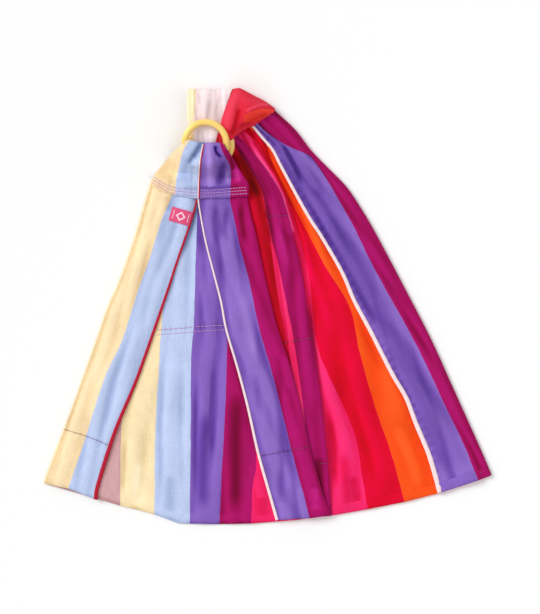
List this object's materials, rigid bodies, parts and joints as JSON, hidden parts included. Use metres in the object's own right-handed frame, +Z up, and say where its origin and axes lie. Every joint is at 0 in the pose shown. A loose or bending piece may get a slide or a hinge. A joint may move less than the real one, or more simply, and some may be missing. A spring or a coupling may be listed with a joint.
{
  "type": "ring sling",
  "caption": "Striped woven ring sling for carrying a baby, threaded through its rings and laid flat with its tail fanned out.",
  "frame": {"origin": "centre of the laid-out sling's outline, on the surface it lies on", "axes": "+Z up from the surface, +Y towards the shoulder fold and the rings, +X towards the free tail"},
  "size_m": [0.668, 0.656, 0.0404],
  "materials": {
    "striped_cloth": "soft woven cotton in lengthwise rainbow stripes",
    "red_binding": "folded crimson edge binding",
    "pink_binding": "folded pale pink edge binding",
    "thread": "matt polyester thread",
    "label_thread": "matt thread",
    "label_cloth": "woven label with a plain diamond pattern",
    "ring_enamel": "smooth golden yellow anodised finish"
  },
  "bodies": {
    "sling": {"tail_panel": "striped_cloth", "tail_edge_flap": "striped_cloth", "body_return_panel": "striped_cloth", "front_centre_panel": "striped_cloth", "front_left_flap": "striped_cloth", "front_right_flap": "striped_cloth", "ring_loop_rear_ply": "striped_cloth", "ring_loop_front_ply": "striped_cloth", "ring_loop_apex": "striped_cloth", "threaded_band_rear": "striped_cloth", "threaded_band_turn": "striped_cloth", "threaded_band_front": "striped_cloth", "shoulder_fold": "striped_cloth", "tail_hem": "striped_cloth", "red_edge_binding": "red_binding", "front_pink_binding": "pink_binding", "tail_pink_binding": "pink_binding", "tail_hem_stitching": "thread", "body_seam_stitching": "thread", "left_flap_seam_stitching": "thread", "right_flap_seam_stitching": "thread", "centre_seam_stitching": "thread", "loop_seam_stitching": "thread", "label_stitching": "label_thread", "woven_label": "label_cloth"},
    "front_ring": {"front_ring": "ring_enamel"},
    "rear_ring": {"rear_ring": "ring_enamel"}
  },
  "joints": [
    {"name": "front_ring_lift", "type": "hinge", "parent": "sling", "child": "front_ring", "pos_m": [-0.0925, 0.21327, 0.0252], "axis": [1, 0, 0], "range_deg": [0, 45]},
    {"name": "rear_ring_spin", "type": "hinge", "parent": "sling", "child": "rear_ring", "pos_m": [-0.085, 0.242, 0.0156], "axis": [0, -0.0323, 0.9995], "continuous": true}
  ]
}
